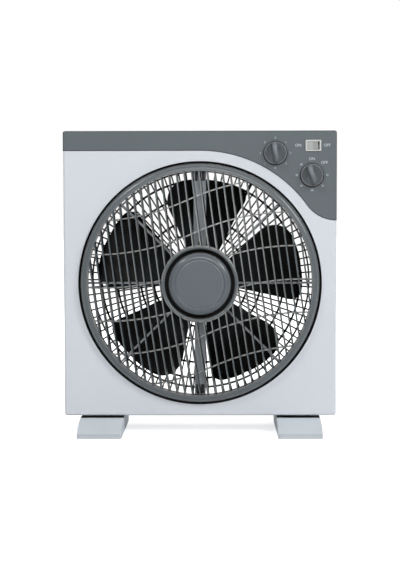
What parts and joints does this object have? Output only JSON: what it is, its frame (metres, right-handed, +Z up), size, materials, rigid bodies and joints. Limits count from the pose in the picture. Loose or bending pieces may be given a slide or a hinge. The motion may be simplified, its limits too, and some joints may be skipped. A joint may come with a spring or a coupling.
{
  "type": "box fan",
  "caption": "Square box fan on two feet, with a turning louvre grille over wide blades, speed and timer dials and a rocker switch at the top corner.",
  "frame": {"origin": "on the floor, midway between the ends of the feet and midway across", "axes": "+Z up, +Y from the front face to the back, +X to the right as seen from the front"},
  "size_m": [0.39, 0.172, 0.432],
  "materials": {
    "shell_white": "fine satin moulding",
    "foot_white": "satin",
    "trim_grey": "fine matte grain",
    "louvre_grey": "satin",
    "cap_grey": "satin",
    "spider_grey": "satin",
    "grille_black": "satin black",
    "blade_black": "smoked black, slightly glossy",
    "knob_grey": "satin",
    "rocker_cream": "satin",
    "switch_case": "plain",
    "capacitor_case": "plain",
    "lead_black": "plain",
    "lamination_steel": "stacked sheet",
    "copper_wire": "enamelled copper",
    "bush_bronze": "sintered bronze",
    "motor_bell": "die cast",
    "rotor_aluminium": "cast",
    "shaft_steel": "ground",
    "screw_steel": "zinc plated"
  },
  "bodies": {
    "housing": {"front_housing": "shell_white", "control_panel": "trim_grey", "rear_housing": "shell_white", "rear_grille": "grille_black", "front_spider": "spider_grey", "foot_left": "foot_white", "foot_right": "foot_white", "foot_screws": "screw_steel", "housing_screws": "screw_steel", "rear_grille_screws": "screw_steel", "spider_screws": "screw_steel", "stator_core": "lamination_steel", "stator_windings": "copper_wire", "motor_front_bell": "motor_bell", "motor_rear_bell": "motor_bell", "front_bush": "bush_bronze", "rear_bush": "bush_bronze", "motor_bolts": "screw_steel", "capacitor": "capacitor_case", "speed_switch": "switch_case", "timer_body": "switch_case", "grille_switch": "rocker_cream", "grille_motor": "motor_bell", "grille_motor_screws": "screw_steel", "grille_motor_lead": "lead_black", "motor_lead": "lead_black", "cord_inlet": "lead_black"},
    "fan": {"fan_blade": "blade_black", "rotor": "rotor_aluminium", "motor_shaft": "shaft_steel", "spinner_nut": "blade_black", "drive_pin": "shaft_steel"},
    "louvre": {"louvre_grille": "louvre_grey", "hub_cap": "cap_grey", "grille_shaft": "shaft_steel", "louvre_nut": "screw_steel"},
    "speed_dial": {"speed_knob": "knob_grey", "speed_spindle": "shaft_steel"},
    "timer_dial": {"timer_knob": "knob_grey", "timer_spindle": "shaft_steel"},
    "rocker": {"rocker_button": "rocker_cream"}
  },
  "joints": [
    {"name": "fan_spin", "type": "hinge", "parent": "housing", "child": "fan", "pos_m": [0, 0.024, 0.215], "axis": [0, 1, 0], "continuous": true},
    {"name": "louvre_spin", "type": "hinge", "parent": "housing", "child": "louvre", "pos_m": [0, -0.026, 0.215], "axis": [0, 1, 0], "continuous": true},
    {"name": "speed_dial_turn", "type": "hinge", "parent": "housing", "child": "speed_dial", "pos_m": [0.1075, -0.03, 0.4], "axis": [0, 1, 0], "continuous": true},
    {"name": "timer_dial_turn", "type": "hinge", "parent": "housing", "child": "timer_dial", "pos_m": [0.1595, -0.03, 0.3686], "axis": [0, 1, 0], "range_deg": [0, 315]},
    {"name": "rocker_tilt", "type": "hinge", "parent": "housing", "child": "rocker", "pos_m": [0.1614, -0.026, 0.4106], "axis": [0, 0, 1], "range_deg": [0, 16]}
  ]
}
